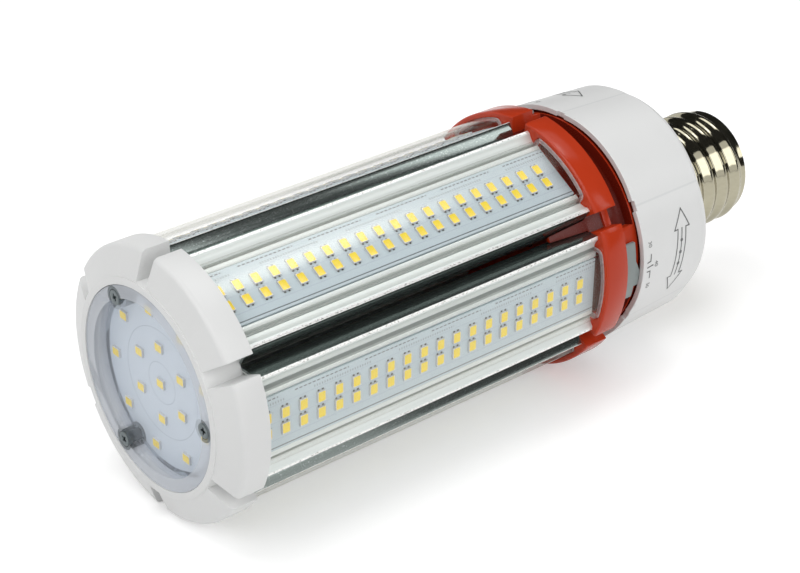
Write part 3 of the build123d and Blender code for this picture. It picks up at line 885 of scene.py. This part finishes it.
# Base insulator and centre contact: a black plug in the end of the shell, and the brass
# contact riveted through it.
insulator_edge = 0.5
insulator_reach = 9
contact_edge = 0.3
contact_reach = 5
black_shade = (0.012, 0.012, 0.013, 1)
black_light = (0.022, 0.022, 0.024, 1)
brass_dark = (0.62, 0.60, 0.54, 1)
brass_light = (0.78, 0.76, 0.70, 1)
black_plastic = moulded("black_plastic", black_shade, black_light, rough=0.22, bump=0.05)
insulator = merged_copy("base_insulator")
eased(insulator, insulator_edge, rounds=3, chosen=beyond(insulator_reach))
piece("black_insulator", insulator, [black_plastic], ["base_insulator"])

contact_metal, tone, surface = finish_named("contact_metal")
wear = grain(tone, 500)
wear.mixed(brass_dark, brass_light).feeds(surface.inputs["Base Color"])
(0.24 + wear * 0.22).feeds(surface.inputs["Roughness"])
surface.inputs["Metallic"].default_value = 1.0
bumped(wear, surface, strength=0.2, depth=0.05)
contact = merged_copy("centre_contact")
eased(contact, contact_edge, rounds=3, chosen=beyond(contact_reach))
piece("riveted_contact", contact, [contact_metal], ["centre_contact"])

# Pieces inside: the driver on its board, the slide switches, the leads and the collar's
# screws. They keep their plain solids and show only when the lamp is opened.
green_shade = (0.02, 0.10, 0.04, 1)
green_light = (0.03, 0.14, 0.06, 1)
ferrite_shade = (0.03, 0.03, 0.032, 1)
ferrite_light = (0.06, 0.06, 0.062, 1)
lead_shade = (0.55, 0.54, 0.52, 1)
lead_light = (0.64, 0.63, 0.60, 1)
green_board = moulded("green_board", green_shade, green_light, rough=0.35, bump=0.05)
dark_ferrite = moulded("dark_ferrite", ferrite_shade, ferrite_light, rough=0.55, bump=0.3)
lead_cover = moulded("lead_cover", lead_shade, lead_light, rough=0.45, bump=0.1)
inner_finishes = {
    "driver_board": green_board, "transformer": dark_ferrite, "choke": dark_ferrite,
    "capacitors": black_plastic, "rectifier": black_plastic, "transistor": black_plastic,
    "power_switch": black_plastic, "colour_switch": black_plastic, "end_lead": lead_cover,
    "contact_lead": lead_cover, "collar_screws": plated_steel,
}
for node, finish in inner_finishes.items():
    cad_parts[node].data.materials.clear()
    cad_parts[node].data.materials.append(finish)

# Floor and light: a pale floor in a white room, with soft boxes above, at the left and in
# front, and a narrow one at the right front that the screw shell mirrors. Two dark cards, at
# the right and overhead, show only in reflections and give the metal its dark bands.
floor_half = 6
floor_drop = 0.0005
floor_pale = (0.90, 0.90, 0.90, 1)
floor_lift = 0.30
room_light = 0.35
room_white = (1, 1, 1, 1)
card_grey = (0.035, 0.035, 0.035, 1)
right_card_place, right_card_half = (1.6, 0, 1.5), (1.5, 2.6)
over_card_place, over_card_half = (0.6, 0.9, 1.7), (1.4, 2.0)
sheet_rough = 0.9


def pictured(tone):
    """1 for the rays that a picture shows: from the camera, through glass and off bright surfaces."""
    direct = tone.node("ShaderNodeLightPath", {}, {}, "Is Camera Ray")
    through = tone.node("ShaderNodeLightPath", {}, {}, "Is Transmission Ray")
    mirrored = tone.node("ShaderNodeLightPath", {}, {}, "Is Glossy Ray")
    return direct.at_least(through).at_least(mirrored)


def studio_sheet(name, finish, places):
    """Flat sheets of the studio, which aren't part of the lamp."""
    mesh = bmesh.new()
    for place in places:
        bmesh.ops.create_grid(mesh, x_segments=1, y_segments=1, size=1, matrix=place)
    data = bpy.data.meshes.new(name)
    mesh.to_mesh(data)
    mesh.free()
    data.materials.append(finish)
    sheet = bpy.data.objects.new(name, data)
    bpy.context.scene.collection.objects.link(sheet)
    return sheet


def soft_box(name, place, target, size, power):
    """A rectangular soft light that faces a point."""
    data = bpy.data.lights.new(name, "AREA")
    data.shape = "RECTANGLE"
    data.size, data.size_y = size
    data.energy = power
    lamp = bpy.data.objects.new(name, data)
    lamp.location = place
    lamp.rotation_euler = (Vector(target) - Vector(place)).to_track_quat("-Z", "Y").to_euler()
    bpy.context.scene.collection.objects.link(lamp)


floor_finish, tone, surface = finish_named("pale_floor")
surface.inputs["Base Color"].default_value = floor_pale
surface.inputs["Roughness"].default_value = sheet_rough
surface.inputs["Specular IOR Level"].default_value = 0.0
surface.inputs["Emission Strength"].default_value = 1.0
(pictured(tone) * floor_lift).feeds(surface.inputs["Emission Color"])
floor_size = Matrix.Diagonal((floor_half, floor_half, 1, 1))
studio_sheet("floor", floor_finish, [Matrix.Translation((0, 0, -floor_drop)) @ floor_size])

card_finish, tone, surface = finish_named("dark_card")
surface.inputs["Base Color"].default_value = card_grey
surface.inputs["Roughness"].default_value = sheet_rough
upright = Matrix.Rotation(radians(-90), 4, "Y")
right_card = Matrix.Translation(right_card_place) @ upright @ Matrix.Diagonal((*right_card_half, 1, 1))
over_card = Matrix.Translation(over_card_place) @ Matrix.Diagonal((*over_card_half, 1, 1))
card = studio_sheet("dark_card", card_finish, [right_card, over_card])
card.visible_camera = False
card.visible_diffuse = False
card.visible_transmission = False
card.visible_shadow = False

world = bpy.data.worlds.new("white_room")
world.use_nodes = True
bpy.context.scene.world = world
backdrop = world.node_tree.nodes["Background"]
backdrop.inputs["Color"].default_value = room_white
shown = pictured(Tone(world.node_tree))
(shown + (1 - shown) * room_light).feeds(backdrop.inputs["Strength"])

soft_box("top_box", place=(0.41, 0.19, 1.08), target=(0.41, 0.19, 0), size=(0.54, 0.66), power=2.42)
soft_box("top_edge_box", place=(0.85, 0.19, 1.08), target=(0.85, 0.19, 0), size=(0.34, 0.66), power=0.7)
soft_box("veil_box", place=(0.52, 0.03, 1.05), target=(0.52, 0.03, 0), size=(0.26, 0.2), power=0.6)
soft_box("over_cap_box", place=(-0.4, 0.2, 1.0), target=(-0.3, 0.1, 0), size=(0.5, 0.5), power=2.45)
soft_box("left_box", place=(-1.0, -0.25, 0.95), target=centre, size=(0.8, 0.8), power=4.8)
soft_box("front_box", place=(0.12, -1.35, 0.75), target=centre, size=(1.2, 0.9), power=6.3)
soft_box("shell_box", place=(1.02, -0.9, 0.64), target=(1.02, 0, 0.64), size=(0.46, 0.62), power=2.3)

# Camera: at the photograph's place and angle, with its slight roll and long lens.
# The focal length is given in pixels of a picture 800 pixels wide.
camera_place = (-0.377907, -0.413373, 0.348310)
azimuth, elevation, roll = radians(-40.419), radians(29.426), radians(-0.565)
focal_pixels, picture_width, sensor = 2031.8, 800, 36.0
nearest = 0.01
back = Vector((sin(azimuth) * cos(elevation), -cos(azimuth) * cos(elevation), sin(elevation)))
level = Vector((cos(azimuth), sin(azimuth), 0))
right = level * cos(roll) - back.cross(level) * sin(roll)
turned = Matrix((right, back.cross(right), back)).transposed().to_4x4()
view = bpy.data.cameras.new("photo_view")
view.sensor_fit = "HORIZONTAL"
view.sensor_width = sensor
view.lens = focal_pixels * sensor / picture_width
view.clip_start = nearest
camera = bpy.data.objects.new("photo_view", view)
camera.matrix_world = Matrix.Translation(camera_place) @ turned
bpy.context.scene.collection.objects.link(camera)
bpy.context.scene.camera = camera
bpy.context.scene.view_settings.view_transform = "Standard"
